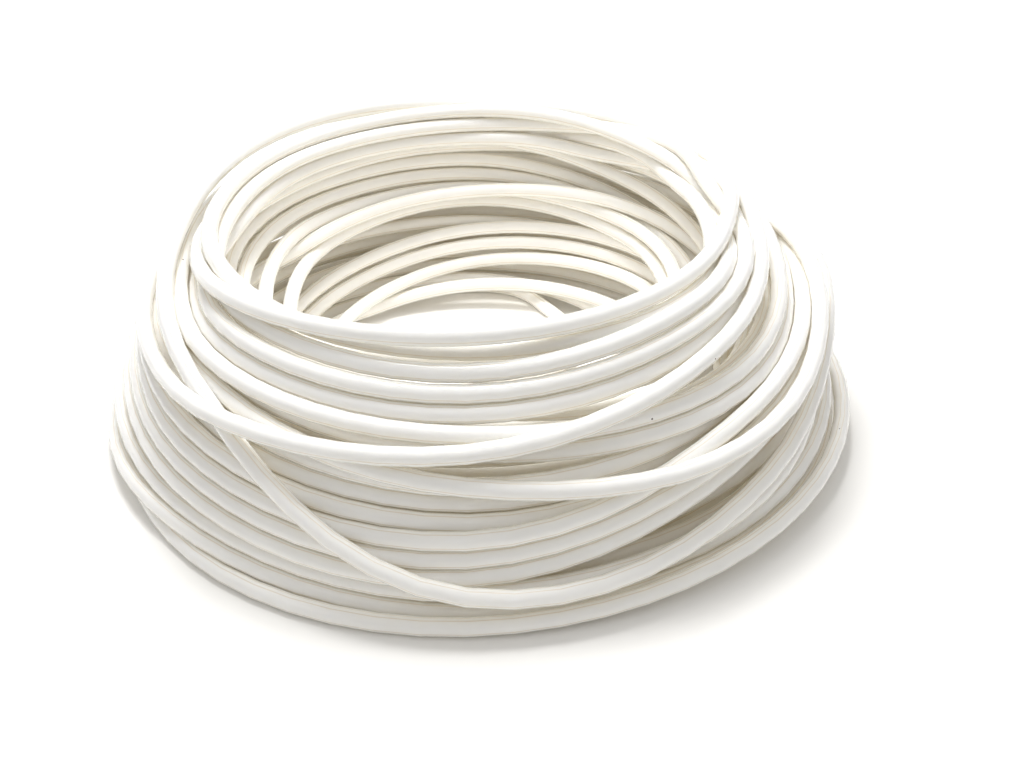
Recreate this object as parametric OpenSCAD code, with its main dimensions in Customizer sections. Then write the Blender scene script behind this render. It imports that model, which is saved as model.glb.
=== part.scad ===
// Silicone tubing wound into one loose coil, lying on its flat underside.
// It is one unbroken tube, open from end to end. The inner end lies curled up
// on the floor of the coil's hole. From there the tube is wound in nested
// shells: the first shell climbs from the floor to the rim, the next one goes
// back down outside it, and so on to the outermost, whose end lies on the
// floor at the back. Every half turn is a true arc that runs from one station,
// on one side of the coil, to the next station on the other side.

/* [Tube] */
// Outside diameter of the tube, mm
od = 6; // [5:0.5:6]
// Diameter of the bore, mm
bore = 3; // [2:0.5:4]

/* [Coil] */
// Radius of the outermost shell, measured from its own middle, mm
shell_r = 140; // [138:1:141]
// Depth of the shells' common middle below the floor, mm
drop = 14; // [13:1:16]
// Height of the highest turn's middle above the floor, mm
top_z = 80; // [78:1:82]
// Radius of the hole at the floor, to the tube's middle, mm
hole_r = 60; // [56:1:62]
// Radius of the hole at the rim, to the tube's middle, mm
rim_r = 94; // [92:1:96]

/* [Winding] */
// Number of shells
shells = 6; // [3:1:6]
// Distance from one shell to the next, mm
shell_gap = 12; // [11:1:12]
// Smallest pitch of the turns on the outermost shell, mm
outer_pitch = 7.4; // [6.8:0.2:8.8]
// Smallest pitch of the turns on the other shells, mm
inner_pitch = 30; // [12:2:32]

/* [Ends] */
// Radius of the curl that the inner end makes inside the hole, mm
curl_r = 26; // [25:1:35]
// Length of straight tube at each end, mm
end_len = 20; // [15:1:30]

/* [Hidden] */
$fn = 72;
// Every second arc has its wall this much thinner on both sides, so that each
// cut face lies inside the next one where two arcs meet.
seam = 0.01;
// The hole widens along a straight line from the floor to the rim.
funnel = (rim_r - hole_r) / (top_z - od / 2);
funnel_base = hole_r - funnel * (od / 2 + drop);

// A shell is a round arc about a point on the axis, below the floor. Angles are
// measured at that point, up from the level.
function radius_of(i) = shell_r - (shells - 1 - i) * shell_gap;
function floor_angle(i) = asin((od / 2 + drop) / radius_of(i));
function funnel_angle(i) = acos(funnel_base / (radius_of(i) * norm([1, funnel]))) - atan(funnel);
function level_angle(i) = asin(min(1, (top_z + drop) / radius_of(i)));
function rim_angle(i) = min(funnel_angle(i), level_angle(i));
function climb(i) = (rim_angle(i) - floor_angle(i)) * PI / 180 * radius_of(i);
function pitch_of(i) = i == shells - 1 ? outer_pitch : inner_pitch;
function turns_of(i) = max(1, floor(climb(i) / pitch_of(i) + 0.5));
function goes_up(i) = (shells - 1 - i) % 2 == 1;

// A station is where the tube crosses the plane of the section, as its
// distance from the axis and its height.
function station(i, m) =
  let (a = floor_angle(i) + (rim_angle(i) - floor_angle(i)) * m / (2 * turns_of(i) - 1))
  [radius_of(i) * cos(a), radius_of(i) * sin(a) - drop];

places = [[hole_r, od / 2], for (i = [0:shells-1]) let (last = 2 * turns_of(i) - 1)
          for (m = [0:last]) station(i, goes_up(i) ? m : last - m)];
stations = [for (k = [0:len(places)-1]) [(k % 2 == 0 ? -1 : 1) * places[k].x, places[k].y]];
half_turns = len(stations) - 1;
inner_start = [-hole_r + 2 * curl_r, od / 2];

// The middle of the outermost turn's outline, where the origin goes.
function span(k) = norm(stations[k+1] - stations[k]) / 2;
middle = [(stations[half_turns].x + stations[half_turns-1].x) / 2,
          (span(half_turns-1) - span(half_turns-2)) / 2];

module wall(inset = 0) {
  difference() {
    circle(d = od - 2 * inset);
    circle(d = bore + 2 * inset);
  }
}

// A half turn between a station on the west side and one on the east side,
// round the front or round the back.
module arc(west, east, front, inset) {
  translate([(west.x + east.x) / 2, 0, (west.y + east.y) / 2])
    rotate([0, -atan2(east.y - west.y, east.x - west.x), 0])
      rotate([0, 0, front ? 180 : 0])
        rotate_extrude(angle = 180) translate([norm(east - west) / 2, 0]) wall(inset);
}

// Odd and even half turns take turns at the front and the back.
module half_turn(k) {
  front = k % 2 == 0;
  arc(stations[front ? k : k + 1], stations[front ? k + 1 : k], front, front ? 0 : seam);
}

// A straight end that leaves a station towards the front.
module straight_end(from) {
  translate([from.x, 0, from.y]) rotate([90, 0, 0]) linear_extrude(end_len) wall();
}

module tube_coil() {
  color("gainsboro") rotate([0, 0, -90]) translate([-middle.x, -middle.y, 0]) {
    straight_end(inner_start);
    arc(stations[0], inner_start, false, seam);
    for (k = [0:half_turns-1]) half_turn(k);
    straight_end(stations[half_turns]);
  }
}

tube_coil();
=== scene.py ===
# %% [markdown]
# # A loose coil of silicone tubing
# The object is about 34 m of soft, milky tube, 6 mm thick with a 3 mm bore.
# It was wound by hand into roughly fifty turns and lies on a white table.
# The turns cross each other here and there, and that is what makes it look real.
# Every cell below makes one step: the camera, the winding, the tube's skin, its finish
# and the light. All lengths of the winding are in millimetres until the mesh is made.

import bpy
import numpy as np
from mathutils import Matrix


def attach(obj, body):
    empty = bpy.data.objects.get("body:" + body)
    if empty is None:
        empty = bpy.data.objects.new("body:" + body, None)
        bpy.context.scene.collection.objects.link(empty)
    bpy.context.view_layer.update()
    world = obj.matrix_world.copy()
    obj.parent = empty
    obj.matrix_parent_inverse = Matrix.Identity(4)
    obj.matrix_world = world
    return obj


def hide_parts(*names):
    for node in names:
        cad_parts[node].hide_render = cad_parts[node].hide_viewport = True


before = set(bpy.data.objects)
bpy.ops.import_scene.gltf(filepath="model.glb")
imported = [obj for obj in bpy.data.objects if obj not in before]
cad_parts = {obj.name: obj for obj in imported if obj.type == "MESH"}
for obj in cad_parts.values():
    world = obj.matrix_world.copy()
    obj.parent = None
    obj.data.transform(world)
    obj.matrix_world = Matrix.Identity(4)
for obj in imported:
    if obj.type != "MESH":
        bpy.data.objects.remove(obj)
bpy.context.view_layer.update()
MM = 0.001

# %% [markdown]
# ## The camera
# A photograph has a viewpoint, and it is found before anything is shaped. The coil's
# round outline gives it: the ratio of its height to its width tells how steeply the
# camera looks down, and how much wider the near side is tells how close it stands.
# The camera looks straight at a point of the table's middle line, tipped down.

# %% Camera
EYE = (13.6, -406.5, 245.7)          # mm, from the middle of the coil's underside
LOOK_DOWN = np.arctan2(0.512, 0.859)  # angle below the level, radians
FOCUS_PX = 1155.0                    # distance to the picture plane, in pixels of the photo
PHOTO_WIDTH_PX = 1024.0

camera = bpy.data.objects.new("camera", bpy.data.cameras.new("camera"))
bpy.context.collection.objects.link(camera)
camera.data.sensor_width = 36.0
camera.data.lens = 36.0 * FOCUS_PX / PHOTO_WIDTH_PX
camera.data.clip_start, camera.data.clip_end = 0.01, 30.0
camera.matrix_world = (Matrix.Translation([v * MM for v in EYE])
                       @ Matrix.Rotation(np.pi / 2 - LOOK_DOWN, 4, "X"))
bpy.context.scene.camera = camera
bpy.context.scene.view_settings.view_transform = "Standard"
print("lens, mm:", round(camera.data.lens, 1), "looking down by", round(np.degrees(LOOK_DOWN), 1))

# %% [markdown]
# ## How the coil is wound
# The tube goes round the coil anticlockwise, seen from above. Its path is easiest to
# describe by where it crosses four half planes that stand on the coil's axis: at the
# back, at the left, in front and at the right. Each crossing is a distance from the
# axis and a height, and a smooth curve joins them. One row below is one turn. Turns that
# lean against each other in front need two more heights, halfway to the front crossing.
#
# The rows follow the tube from its inner end to its outer end. It starts on the floor
# of the hole, fills the ring from the floor up, shows as the wall of the hole, comes
# over the rim, and ends as the turns that are seen from outside. The layer says which
# tube lies on top where two of them cross: a higher one lies further out.
#
# The rows of the turns that show follow the photograph. Their middle lines were traced
# and laid onto the coil's round outer side, which gives their heights. The rows
# of the core are filler, because nothing shows there.

# %% Turns
#   layer, then (distance from the axis, height) in mm at the back, left, front, right,
#   and for some turns the heights at the front left and the front right
FLOOR_OF_HOLE = [
    (0, (92, 3), (98, 3), (94, 3), (84, 8)),
    (0, (79, 12), (87, 4), (80, 3), (76, 3)),
]
CORE = [
    (0, (88, 10), (104, 8), (103, 3), (103, 3)),
    (0, (103, 3), (109, 3), (110, 3), (110, 3)),
    (0, (110, 3), (116, 3), (117, 3), (117, 3)),
    (0, (117, 3), (123, 3), (124, 3), (124, 3)),
    (0, (124, 3), (129, 3), (129, 3), (129, 4)),
    (0, (130, 6), (131, 10), (127, 10), (126, 10)),
    (0, (122, 10), (119, 10), (115, 10), (112, 10)),
    (0, (108, 10), (105, 10), (102, 10), (100, 10)),
    (0, (98, 10), (94, 10), (94, 11), (98, 14)),
    (0, (99, 17), (103, 17), (106, 17), (110, 18)),
    (0, (116, 18), (120, 19), (124, 19), (125, 21)),
    (0, (122, 25), (117, 25), (116, 25), (113, 25)),
    (0, (109, 25), (106, 25), (102, 25), (99, 27)),
    (0, (100, 33), (104, 33), (104, 33), (108, 33)),
    (0, (113, 33), (116, 34), (120, 34), (120, 34)),
    (0, (116, 42), (110, 42), (110, 42), (104, 42)),
    (0, (112, 50), (108, 52), (114, 50), (110, 54)),
    (0, (112, 61), (104, 60), (108, 62), (105, 63)),
    (0, (104, 56), (100, 50), (98, 42), (86, 34)),
]
WALL_OF_HOLE = [
    (1, (88, 19), (67, 3), (72, 9), (86, 28)),
    (1, (90, 26), (82, 9), (80, 15), (89, 36)),
    (1, (92, 33), (85, 16), (83, 21), (76, 36)),
    (1, (99, 45), (74, 37), (80, 28), (79, 44)),
    (1, (99, 50), (82, 47), (84, 37), (88, 40)),
    (1, (101, 56), (90, 54), (88, 46), (94, 36)),
    (1, (102, 62), (95, 60), (92, 55), (95, 46)),
    (1, (103, 76), (97, 67), (97, 69), (98, 68)),
]
RIM = [
    (1, (104, 70), (97, 69), (117, 63), (98, 80), 67, 71),
    (1, (99, 78), (93, 74), (114, 67), (95, 84), 71, 75),
    (1, (97, 82), (94, 78), (110, 73), (92, 83), 77, 80),
    (1, (98, 84), (95, 81), (103, 76), (90, 83), 79, 80),
    (2, (106, 78), (110, 70), (122, 53), (119, 60), 60, 51),
    (7, (114, 88), (117, 62), (125, 54), (98, 81), 52, 68),
    (3, (104, 82), (99, 74), (105, 82), (87, 79)),
]
OUTSIDE = [
    (3, (103, 78), (106, 74), (121, 57), (111, 69), 63, 57),
    (6, (109, 86), (104, 82), (140, 14), (123, 56), 56, 25),
    (5, (112, 70), (108, 70), (129, 45), (118, 62), 57, 41),
    (1, (116, 62), (118, 58), (128, 42), (120, 51), 50, 48),
    (1, (120, 54), (112, 60), (130, 38), (117, 46), 46, 44),
    (2, (123, 48), (120, 56), (131, 33), (121, 58), 42, 45),
    (3, (126, 48), (121, 52), (133, 28), (124, 58), 35, 46),
    (4, (128, 44), (127, 43), (135, 23), (124, 58), 29, 43),
    (4, (131, 42), (131, 35), (137, 18), (126, 52), 22, 36),
    (2, (134, 36), (138, 24), (138, 11), (128, 36), 12, 18),
    (1, (137, 26), (141, 14), (139, 6), (136, 20), 5, 11),
    (2, (138, 18), (140, 7), (134, 3), (139, 7)),
    (2, (138, 10), (134, 5), (140, 3), (143, 13)),
]
OUTER_END = (138.73, 3.0)            # where the last turn reaches the back, on the floor
turns = FLOOR_OF_HOLE + CORE + WALL_OF_HOLE + RIM + OUTSIDE
print("turns:", len(turns))

# %% A smooth curve through chosen points
PER_TURN = 64                        # points of the centreline on one turn
ROUND = 140.0                        # mm, radius of the coil's round outer side
CENTRE_BELOW = 14.0                  # mm, that round's middle lies this deep below the table


def smooth_curve(points, steps):
    """The Catmull-Rom curve through the points, with this many steps from one to the next.

    Between b and c, with a before them and d after them, it is the cubic of t from 0 to 1
    that starts at b, ends at c, and whose slope at b is (c - a) / 2 and at c is (d - b) / 2.
    """
    points = np.asarray(points, float)
    ends = np.vstack([2 * points[0] - points[1], points, 2 * points[-1] - points[-2]])
    a, b, c, d = ends[:-3, None], ends[1:-2, None], ends[2:-1, None], ends[3:, None]
    t = (np.arange(steps) / steps)[None, :, None]
    curve = (b + (c - a) / 2 * t + (a - 2.5 * b + 2 * c - d / 2) * t ** 2
             + (1.5 * (b - c) + (d - a) / 2) * t ** 3)
    return np.vstack([curve.reshape(-1, points.shape[1]), points[-1:]])


def on_the_round(height):
    """The crossing at that height on the round outer side, where r^2 + (z + below)^2 = R^2."""
    return np.sqrt(ROUND ** 2 - (height + CENTRE_BELOW) ** 2), height


quarters = [crossing for turn in turns for crossing in turn[1:5]] + [OUTER_END]
eighths = smooth_curve(quarters, 2)
for k, turn in enumerate(turns):
    if len(turn) == 7:
        eighths[8 * k + 3] = on_the_round(turn[5])
        eighths[8 * k + 5] = on_the_round(turn[6])
wound = smooth_curve(eighths, PER_TURN // 8)[:-1]
print("points round the coil:", len(wound))

# %% [markdown]
# ## Letting the turns find their places
# A curve through chosen points knows nothing of its neighbours, so some turns would run
# through each other. A cloth or rope simulation could sort that out, but it is slow and
# hard to steer. There is a simpler way for a coil. In each half plane through the axis
# the tube shows as some fifty round discs. Discs that overlap push each other apart,
# and each push is spread along the tube, as its stiffness does. After some hundred
# small rounds hardly anything overlaps, and the turns are still close to where they were
# put. At a few crossings two turns still reach about half a millimetre into each other,
# where the real tubes would flatten.

# %% Settle
OUTSIDE_DIAMETER = 6.0               # mm
BORE = 3.0                           # mm
SPACE = 6.2                          # mm from the middle of one turn to the next
ROUNDS = 300
SHOWN_EASE = 0.35                    # how easily a shown turn moves, where a core turn counts 1
CORE_HOLD = 0.1                      # how firmly a core turn is drawn back, where a shown one counts 1
DRAW_BACK = 0.04                     # share of the shift undone in the first round, less in later ones
LAYER_PULL = 5.0                     # mm, turns the line between two layers outwards
LONGEST_PUSH = 1.2                   # mm in one round
SPREAD, LAST_SPREAD = 0.2, 0.08      # what a point takes over from each neighbour along the tube
LAST_ROUNDS = 40                     # the rounds that use the smaller spread
TOO_CLOSE = 5.8                      # mm, what the count of close pairs starts from
FAR = 99.0                           # mm, stands for the distance of a disc from itself


def settle(path, layers):
    """Moves the turns apart where they overlap, and returns the new path.

    In each half plane every pair of discs closer than SPACE is pushed apart along the
    line between them, turned outwards for the higher layer, by what is missing, shared
    so that the designed outer turns move less than the core. The shift of each point is
    then averaged with its neighbours along the tube, and the floor holds everything up.
    """
    count = len(layers)
    shown = layers > 0
    ease = np.where(shown, SHOWN_EASE, 1.0)[:, None]
    share = (ease / (ease + ease.T))[None]
    above = np.clip(layers[:, None] - layers[None], -1, 1)[None, :, :, None]
    hold = np.repeat(np.where(shown, 1.0, CORE_HOLD), PER_TURN)[:, None]
    itself = np.eye(count) * FAR
    shift = np.zeros_like(path)
    for k in range(ROUNDS):
        discs = (path + shift).reshape(count, PER_TURN, 2).transpose(1, 0, 2)
        apart = discs[:, :, None] - discs[:, None]
        missing = np.clip(SPACE - np.sqrt((apart ** 2).sum(-1)) - itself, 0, None)
        outwards = discs + np.array([0, CENTRE_BELOW])
        outwards /= np.linalg.norm(outwards, axis=-1, keepdims=True)
        line = apart + LAYER_PULL * above * outwards[:, :, None]
        line /= np.sqrt((line ** 2).sum(-1, keepdims=True) + 1e-4)
        push = (line * (missing * share)[..., None]).sum(2).transpose(1, 0, 2).reshape(-1, 2)
        kept = 1 - DRAW_BACK * (1 - k / ROUNDS) * hold
        shift = shift * kept + np.clip(push / 2, -LONGEST_PUSH, LONGEST_PUSH)
        spread = SPREAD if k < ROUNDS - LAST_ROUNDS else LAST_SPREAD
        shift[1:-1] = (1 - 2 * spread) * shift[1:-1] + spread * (shift[:-2] + shift[2:])
        shift[:, 1] = np.maximum(shift[:, 1], OUTSIDE_DIAMETER / 2 - path[:, 1])
    return path + shift


layers = np.array([turn[0] for turn in turns], float)
settled = settle(wound, layers)
discs = settled.reshape(len(turns), PER_TURN, 2).transpose(1, 0, 2)
gaps = np.linalg.norm(discs[:, :, None] - discs[:, None], axis=-1) + np.eye(len(turns)) * FAR
close_pairs = int((gaps < TOO_CLOSE).sum() // 2)
print("closest turns, mm:", round(gaps.min(), 2), "close pairs in all planes:", close_pairs)

# %% [markdown]
# ## The two ends
# The inner end lies on the table inside the hole. It runs straight, bends back in a hook
# and joins the first turn in a second, wider bend. Both bends are true arcs to the left.
# The straight piece between them has the one length that makes the ends meet.
# The outer end runs out straight behind the coil.

# %% The whole centreline
INNER_MOUTH = (-20.3, 7.75)          # mm, the mouth of the solid coil's inner end
HOOK, JOIN = 30.0, 28.0              # mm, radii of the two bends
HOOK_TURN = np.radians(120)          # how far the first bend turns
END_LENGTH = 20.0                    # mm of straight tube at the outer end


def around_axis(path):
    """Points in space: each step of the path turns 360 / PER_TURN degrees, from the back."""
    angle = np.pi / 2 + 2 * np.pi * np.arange(len(path)) / PER_TURN
    return np.c_[path[:, 0] * np.cos(angle), path[:, 0] * np.sin(angle), path[:, 1]]


def inner_end(goal):
    """Points from the inner mouth to the goal, which the tube reaches running towards -X.

    A bend to the left of radius r has its middle M at the left. Where the tube heads at
    the angle h from +X, it is at M + r * (sin h, -cos h). Between the bends it heads at
    HOOK_TURN, over the length at which both bends fit between the mouth and the goal.
    """
    sine, cosine = np.sin(HOOK_TURN), np.cos(HOOK_TURN)
    between = (goal[1] - INNER_MOUTH[1] - HOOK - JOIN + (HOOK - JOIN) * cosine) / sine
    hook_middle = np.array([goal[0] + (JOIN - HOOK) * sine - between * cosine, INNER_MOUTH[1] + HOOK])
    join_middle = np.array([goal[0], goal[1] - JOIN])
    first = np.linspace(0, HOOK_TURN, 13)[:, None]
    second = np.linspace(HOOK_TURN, np.pi, 8)[:, None]
    hook = hook_middle + HOOK * np.hstack([np.sin(first), -np.cos(first)])
    join = join_middle + JOIN * np.hstack([np.sin(second), -np.cos(second)])
    run_in = np.linspace(INNER_MOUTH, hook[0], 8)[:-1]
    run_over = np.linspace(hook[-1], join[0], 8)[1:-1]
    flat = np.vstack([run_in, hook, run_over, join[:-1]])
    return np.c_[flat, np.linspace(OUTSIDE_DIAMETER / 2, goal[2], len(flat))]


winding = around_axis(settled)
lead_in = inner_end(winding[0])
back = np.array([0, OUTER_END[0], OUTER_END[1]])
lead_out = back + np.c_[-np.linspace(0, END_LENGTH, 5), np.zeros((5, 2))]
centreline = np.vstack([lead_in, winding, lead_out])
clear = np.linalg.norm(lead_in[:-2, None] - winding[None, PER_TURN // 8:], axis=-1).min()
print("closest the inner end comes to a turn, mm:", round(clear, 2))
steps = np.linalg.norm(np.diff(centreline, axis=0), axis=1)

# %% [markdown]
# ## The tube itself
# The skin is a ring of points carried along the centreline. At each point two directions
# across the tube are needed: one level, to the right of travel, and one upwards. With
# those the rings never twist, so a mark on the tube's side stays on its side.
# The bore is a second, smaller skin, and a flat ring joins the two at each mouth.

# %% Skin
SIDES = 14


def rings(line, radius, sides):
    """Rings of points of that radius round each point of the line.

    With T along the tube and Z up, the level direction is E = T x Z and the other is
    U = E x T. The point at angle a is the middle + radius * (cos a * E + sin a * U).
    """
    along = np.gradient(line, axis=0)
    along /= np.linalg.norm(along, axis=1, keepdims=True)
    level = np.cross(along, [0, 0, 1])
    level /= np.linalg.norm(level, axis=1, keepdims=True)
    up = np.cross(level, along)
    angle = 2 * np.pi * np.arange(sides) / sides
    return line[:, None] + radius * (np.cos(angle)[None, :, None] * level[:, None]
                                     + np.sin(angle)[None, :, None] * up[:, None])


def tube_faces(count, sides, first):
    """Quads between neighbouring rings: ring i and i + 1, side j and j + 1, counted from first."""
    i, j = np.meshgrid(np.arange(count - 1), np.arange(sides), indexing="ij")
    k = (j + 1) % sides
    quads = [i * sides + j, i * sides + k, (i + 1) * sides + k, (i + 1) * sides + j]
    return first + np.stack(quads, -1).reshape(-1, 4)


count = len(centreline)
outside = rings(centreline, OUTSIDE_DIAMETER / 2, SIDES)
inside = rings(centreline, BORE / 2, SIDES)
points = np.vstack([outside.reshape(-1, 3), inside.reshape(-1, 3)]) * MM
skin = tube_faces(count, SIDES, 0)[:, ::-1]
bore = tube_faces(count, SIDES, count * SIDES)
j = np.arange(SIDES)
k = (j + 1) % SIDES
last, hollow = (count - 1) * SIDES, count * SIDES
mouth_in = np.stack([j, k, hollow + k, hollow + j], -1)
mouth_out = np.stack([last + k, last + j, hollow + last + j, hollow + last + k], -1)
faces = np.vstack([skin, bore, mouth_in, mouth_out])

mesh = bpy.data.meshes.new("tube")
mesh.from_pydata(points.tolist(), [], faces.tolist())
mesh.polygons.foreach_set("use_smooth", np.arange(len(faces)) < len(skin) + len(bore))
tube = bpy.data.objects.new("tube", mesh)
bpy.context.collection.objects.link(tube)
print("faces:", len(faces), "triangles:", 2 * len(faces))

# %% [markdown]
# ## A map along the tube
# The finish needs to know where it is on the tube: how far along, and on which side.
# The UV map holds both: U is the distance along the tube in metres, and V is the angle
# round it, 0 at the side that looks away from the coil, a quarter at the top.

# %% UV map
distance = np.concatenate([[0], np.cumsum(steps)]) * MM
ring_of = np.tile(np.repeat(np.arange(count), SIDES), 2)
side_of = np.tile(np.tile(np.arange(SIDES), count), 2)
corner = faces.reshape(-1)
v = side_of[corner].reshape(-1, 4) / SIDES
wraps = (v.max(1) - v.min(1)) > 0.5
v[wraps] = np.where(v[wraps] < 0.5, v[wraps] + 1, v[wraps])
uv = mesh.uv_layers.new(name="along_and_round")
uv.data.foreach_set("uv", np.c_[distance[ring_of[corner]], v.reshape(-1)].reshape(-1))
mesh.update()
print("UV corners:", len(corner))

# %% Its place in the frame
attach(tube, "root")
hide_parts("tube_coil")

# %% [markdown]
# ## Milky silicone
# Silicone is translucent: light enters it, is scattered, and leaves a few millimetres
# away, which softens every shadow. Subsurface scattering does this. Its surface is smooth
# enough for long soft highlights. Through the wall the bore shows as a duller band with
# a thin line at each edge, which is shade and refraction, not a colour of the silicone.
# So painted shade stands for it: stripes at chosen values of the V coordinate, on the outer
# and on the inner side, as they show to someone who looks down at the coil.
# Slow clouding along the tube and a few dust specks keep it from looking perfect.
# Light that has passed through whole turns reaches the gaps behind them, warm and weak.
# Tracing it would be slow, so a faint warm glow of the skin stands for it.

# %% Node helpers
def new_node(tree, kind, **values):
    """Adds a node and sets its inputs and properties by name."""
    node = tree.nodes.new(kind)
    for name, value in values.items():
        label = name.replace("_", " ")
        if label in node.inputs:
            node.inputs[label].default_value = value
        else:
            setattr(node, name, value)
    return node


def math(tree, operation, first, second=0.0):
    """One step of arithmetic on two sockets or numbers."""
    node = tree.nodes.new("ShaderNodeMath")
    node.operation = operation
    for socket, value in zip(node.inputs, (first, second)):
        if isinstance(value, (int, float)):
            socket.default_value = value
        else:
            tree.links.new(value, socket)
    return node.outputs[0]


def blend_colour(tree, factor, first, second):
    """Mixes two colours, each a socket or a tuple."""
    node = tree.nodes.new("ShaderNodeMix")
    node.data_type = "RGBA"
    tree.links.new(factor, node.inputs[0])
    for socket, value in zip((node.inputs[6], node.inputs[7]), (first, second)):
        if isinstance(value, tuple):
            socket.default_value = (*value, 1.0)
        else:
            tree.links.new(value, socket)
    return node.outputs[2]


# %% Silicone
MILKY = (0.95, 0.935, 0.885)
CLOUDED = (0.92, 0.90, 0.84)
# The next two colours are painted shade: thin darker lines at the bore's edges and a duller band over the
# bore, as the wall shows them from above.
PAINTED_SHADE_LINE = (0.77, 0.69, 0.58)
PAINTED_BORE_SHADE = (0.88, 0.87, 0.84)
DUST = (0.12, 0.10, 0.09)
THROUGH = (1.0, 0.82, 0.52)            # colour of the light that has come through other turns
THROUGH_LEVEL = 0.021
CLOUDS_ALONG, CLOUDS_ROUND = 9.0, 2.0  # how fast the clouding changes, per metre and per turn of V
SPECK_CELLS, SPECK_SIZE = 42.0, 0.016  # cells per metre, and the share of a cell that is dust
# Where the painted shade bands and lines lie: the V at which the bore shows from above, on the outer and
# the inner side, with their widths and strength below.
PAINTED_BAND_MIDDLES = (0.086, 0.414)            # V of the sides seen from above, outer and inner
BORE_HALF_WIDTH = 0.125                # V from the middle of the bore, as it shows, to its edge
BAND_REACH, PAINTED_BAND_STRENGTH = 1.3, 0.9   # the band's fading edge, in half widths, and its strength
LINE_HALF_WIDTH = 0.016


def stripe(tree, side, at, half_width):
    """1 on the line where V is at, falling to 0 at half_width on both sides."""
    around = math(tree, "FRACT", math(tree, "ADD", side, 1.5 - at))
    away = math(tree, "ABSOLUTE", math(tree, "SUBTRACT", around, 0.5))
    return math(tree, "MAXIMUM", math(tree, "SUBTRACT", 1.0, math(tree, "DIVIDE", away, half_width)), 0.0)


def silicone():
    """Principled skin with scattering, a clouded colour, painted shade bands and lines where the bore
    shows through the wall, and dust.
    """
    material = bpy.data.materials.new("silicone")
    material.use_nodes = True
    tree = material.node_tree
    principled = tree.nodes["Principled BSDF"]
    place = tree.nodes.new("ShaderNodeUVMap")
    place.uv_map = "along_and_round"
    split = tree.nodes.new("ShaderNodeSeparateXYZ")
    tree.links.new(place.outputs[0], split.inputs[0])
    along, side = split.outputs[0], split.outputs[1]
    stretch = new_node(tree, "ShaderNodeCombineXYZ")
    tree.links.new(math(tree, "MULTIPLY", along, CLOUDS_ALONG), stretch.inputs[0])
    tree.links.new(math(tree, "MULTIPLY", side, CLOUDS_ROUND), stretch.inputs[1])
    clouds = new_node(tree, "ShaderNodeTexNoise", Scale=1.0, Detail=3.0, Roughness=0.55)
    tree.links.new(stretch.outputs[0], clouds.inputs["Vector"])
    colour = blend_colour(tree, clouds.outputs["Fac"], MILKY, CLOUDED)
    # Painted shade: a duller band over the bore and a thin darker line at each of its edges, at fixed V.
    for middle in PAINTED_BAND_MIDDLES:
        painted_shade_band = stripe(tree, side, middle, BAND_REACH * BORE_HALF_WIDTH)
        colour = blend_colour(tree, math(tree, "MULTIPLY", painted_shade_band, PAINTED_BAND_STRENGTH), colour, PAINTED_BORE_SHADE)
        for edge in (middle - BORE_HALF_WIDTH, middle + BORE_HALF_WIDTH):
            colour = blend_colour(tree, stripe(tree, side, edge, LINE_HALF_WIDTH), colour, PAINTED_SHADE_LINE)
    where = tree.nodes.new("ShaderNodeTexCoord")
    grains = new_node(tree, "ShaderNodeTexVoronoi", Scale=SPECK_CELLS)
    tree.links.new(where.outputs["Object"], grains.inputs["Vector"])
    speck = math(tree, "LESS_THAN", grains.outputs["Distance"], SPECK_SIZE)
    colour = blend_colour(tree, speck, colour, DUST)
    tree.links.new(colour, principled.inputs["Base Color"])
    principled.inputs["Roughness"].default_value = 0.16
    principled.inputs["IOR"].default_value = 1.41
    principled.inputs["Subsurface Weight"].default_value = 1.0
    principled.inputs["Subsurface Radius"].default_value = (1.0, 0.98, 0.92)
    principled.inputs["Subsurface Scale"].default_value = 0.003
    principled.inputs["Emission Color"].default_value = (*THROUGH, 1.0)
    principled.inputs["Emission Strength"].default_value = THROUGH_LEVEL
    return material


mesh.materials.append(silicone())

# %% [markdown]
# ## The table and the light
# The table is plain white. The camera and mirror-like rays see a little glow on top, which
# grows away from the coil, so the far table is pure white and the coil's shadow stays.
# A soft lamp hangs above, a little behind and to the left, so the shadow falls in front
# and to the right. The room is bright overhead and dimmer towards the level, which
# leaves the low turns in front darker than the rim. A weak, warm lamp in the hole, which
# the camera and reflections don't see, stands for the light that its wall lets through.
# Pale surfaces pass light on many times, so the paths are allowed many bounces.

# %% Table
TABLE_WHITE = (0.80, 0.79, 0.77, 1.0)
NEAR_GLOW = 0.03                       # what the camera sees on top of the lit table
SHADOW_REACH = 0.165                   # m from the middle, where the fade to white starts
FADE_PER_METRE = 3.0


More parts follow.
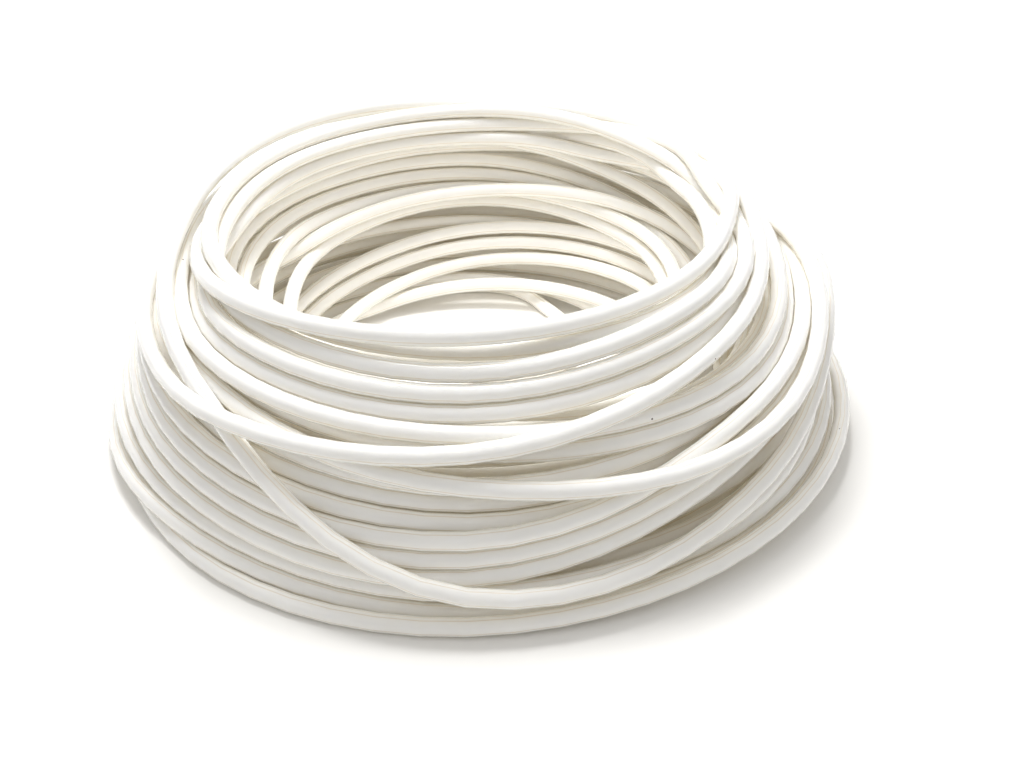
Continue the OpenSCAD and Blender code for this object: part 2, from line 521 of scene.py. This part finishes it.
def white_table():
    """Diffuse white that fades to pure white away from the coil, for the camera and mirror rays only."""
    material = bpy.data.materials.new("white_table")
    material.use_nodes = True
    tree = material.node_tree
    tree.nodes.clear()
    matt = new_node(tree, "ShaderNodeBsdfDiffuse", Color=TABLE_WHITE)
    glow = new_node(tree, "ShaderNodeEmission")
    where = tree.nodes.new("ShaderNodeTexCoord")
    distance = new_node(tree, "ShaderNodeVectorMath", operation="LENGTH")
    tree.links.new(where.outputs["Object"], distance.inputs[0])
    beyond = math(tree, "MAXIMUM", math(tree, "SUBTRACT", distance.outputs["Value"], SHADOW_REACH), 0.0)
    fade = math(tree, "MINIMUM", math(tree, "MULTIPLY", beyond, FADE_PER_METRE), 1.0)
    tree.links.new(math(tree, "ADD", fade, NEAR_GLOW), glow.inputs["Strength"])
    rays = tree.nodes.new("ShaderNodeLightPath")
    seen = math(tree, "MAXIMUM", rays.outputs["Is Camera Ray"], rays.outputs["Is Glossy Ray"])
    black = new_node(tree, "ShaderNodeEmission", Strength=0.0)
    choose = tree.nodes.new("ShaderNodeMixShader")
    both = tree.nodes.new("ShaderNodeAddShader")
    out = tree.nodes.new("ShaderNodeOutputMaterial")
    tree.links.new(seen, choose.inputs[0])
    tree.links.new(black.outputs[0], choose.inputs[1])
    tree.links.new(glow.outputs[0], choose.inputs[2])
    tree.links.new(matt.outputs[0], both.inputs[0])
    tree.links.new(choose.outputs[0], both.inputs[1])
    tree.links.new(both.outputs[0], out.inputs[0])
    return material


HALF = 4.0                             # m, half the side of the table
table_mesh = bpy.data.meshes.new("table")
table_corners = [(-HALF, -HALF, 0), (HALF, -HALF, 0), (HALF, HALF, 0), (-HALF, HALF, 0)]
table_mesh.from_pydata(table_corners, [], [(0, 1, 2, 3)])
table = bpy.data.objects.new("table", table_mesh)
bpy.context.collection.objects.link(table)
table_mesh.materials.append(white_table())

# %% Room
world = bpy.data.worlds.new("room")
bpy.context.scene.world = world
world.use_nodes = True
room = world.node_tree
background = room.nodes["Background"]
background.inputs["Color"].default_value = (1.0, 1.0, 1.0, 1.0)
rays = room.nodes.new("ShaderNodeLightPath")
WALLS, CEILING = 0.17, 0.80  # light from the level, and how much more comes from straight above
direction = room.nodes.new("ShaderNodeTexCoord")
parts = room.nodes.new("ShaderNodeSeparateXYZ")
room.links.new(direction.outputs["Generated"], parts.inputs[0])
overhead = math(room, "MAXIMUM", parts.outputs[2], 0.0)
level = math(room, "ADD", math(room, "MULTIPLY", overhead, CEILING), WALLS)
level = math(room, "MAXIMUM", level, rays.outputs["Is Camera Ray"])  # the camera sees plain white
room.links.new(level, background.inputs["Strength"])


def soft_lamp(name, place, target, size, power):
    """A square lamp of that side in metres, at place, facing target."""
    lamp = bpy.data.objects.new(name, bpy.data.lights.new(name, "AREA"))
    lamp.data.shape = "SQUARE"
    lamp.data.size = size
    lamp.data.energy = power
    bpy.context.collection.objects.link(lamp)
    away = np.array(place, float) - np.array(target, float)
    z = away / np.linalg.norm(away)
    x = np.cross([0.0, 1.0, 0.001], z)
    x /= np.linalg.norm(x)
    y = np.cross(z, x)
    lamp.matrix_world = Matrix([[x[i], y[i], z[i], place[i]] for i in range(3)] + [[0, 0, 0, 1]])
    return lamp


# %% Lamps
bpy.context.scene.cycles.max_bounces = 12
bpy.context.scene.cycles.diffuse_bounces = 8
soft_lamp("top_lamp", (-0.08, 0.15, 0.85), (0, 0, 0.04), 0.3, 6.6)
hole_lamp = bpy.data.objects.new("hole_lamp", bpy.data.lights.new("hole_lamp", "POINT"))
hole_lamp.data.shadow_soft_size = 0.03  # m
hole_lamp.data.energy = 0.06
hole_lamp.data.color = (1.0, 0.95, 0.86)
hole_lamp.location = (0, -0.01, 0.06)
hole_lamp.visible_camera = hole_lamp.visible_glossy = False
bpy.context.collection.objects.link(hole_lamp)
